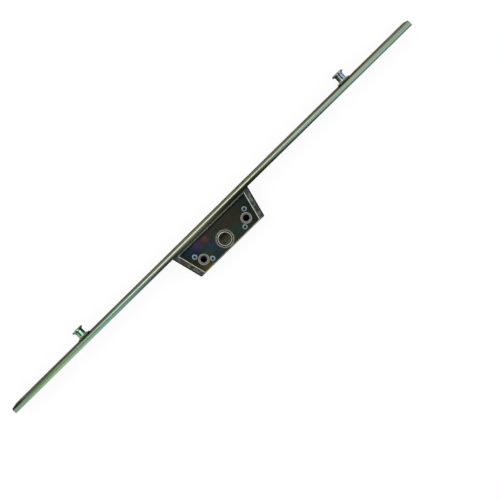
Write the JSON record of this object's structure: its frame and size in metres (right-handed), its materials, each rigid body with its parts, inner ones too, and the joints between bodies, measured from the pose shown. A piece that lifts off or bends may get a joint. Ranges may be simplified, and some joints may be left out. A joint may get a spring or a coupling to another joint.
{
  "type": "window espagnolette gearbox",
  "caption": "Folded steel faceplate with a sliding bar and mushroom roller cams, driven by a toothed hub in a trapezoid zinc gearbox.",
  "frame": {"origin": "on the faceplate's front face, in the middle of its width and length, opposite the spindle", "axes": "+X along the faceplate toward the bar's round end, +Y out of the front face, +Z out of the cover plate"},
  "size_m": [0.4, 0.0364, 0.016],
  "materials": {
    "rail_steel": "zinc plated, iridescent green passivation",
    "bar_steel": "zinc plated, green passivation",
    "cast_zinc": "matte passivated zinc casting",
    "cover_steel": "smooth plated steel, dark reflections",
    "hub_zinc": "bright zinc casting",
    "rack_steel": "plain steel",
    "rivet_steel": "plain steel",
    "spread_rivet": "satin, punched end",
    "bush_steel": "turned, zinc plated",
    "stud_steel": "zinc plated, dark iridescent",
    "washer_steel": "zinc plated, olive brown",
    "roller_steel": "turned, zinc plated, iridescent"
  },
  "bodies": {
    "case": {"faceplate": "rail_steel", "gearbox_body": "cast_zinc", "cover_plate": "cover_steel", "handle_bush_lower": "bush_steel", "handle_bush_upper": "bush_steel", "cover_rivet_1": "spread_rivet", "cover_rivet_2": "spread_rivet", "cover_rivet_3": "spread_rivet", "cover_rivet_4": "spread_rivet"},
    "slide": {"slide_bar": "bar_steel", "drive_rack": "rack_steel", "rack_rivet_lower": "rivet_steel", "rack_rivet_upper": "rivet_steel", "cam_stud_lower": "stud_steel", "cam_stud_upper": "stud_steel", "cam_washer_lower": "washer_steel", "cam_washer_upper": "washer_steel"},
    "hub": {"drive_hub": "hub_zinc"},
    "roller_lower": {"cam_roller_lower": "roller_steel"},
    "roller_upper": {"cam_roller_upper": "roller_steel"}
  },
  "joints": [
    {"name": "bar_slide", "type": "slide", "parent": "case", "child": "slide", "axis": [1, 0, 0], "range_m": [-0.01539, 0.00109]},
    {"name": "hub_turn", "type": "hinge", "parent": "case", "child": "hub", "pos_m": [0, -0.02, 0], "axis": [0, 0, 1], "range_deg": [-6, 84]},
    {"name": "roller_spin_lower", "type": "hinge", "parent": "slide", "child": "roller_lower", "pos_m": [-0.12545, 0.004, 0], "axis": [0, 1, 0], "continuous": true},
    {"name": "roller_spin_upper", "type": "hinge", "parent": "slide", "child": "roller_upper", "pos_m": [0.13975, 0.004, 0], "axis": [0, 1, 0], "continuous": true}
  ],
  "couplings": [
    {"joint": "hub_turn", "follows": "bar_slide", "rad_per_m": -95.238}
  ]
}
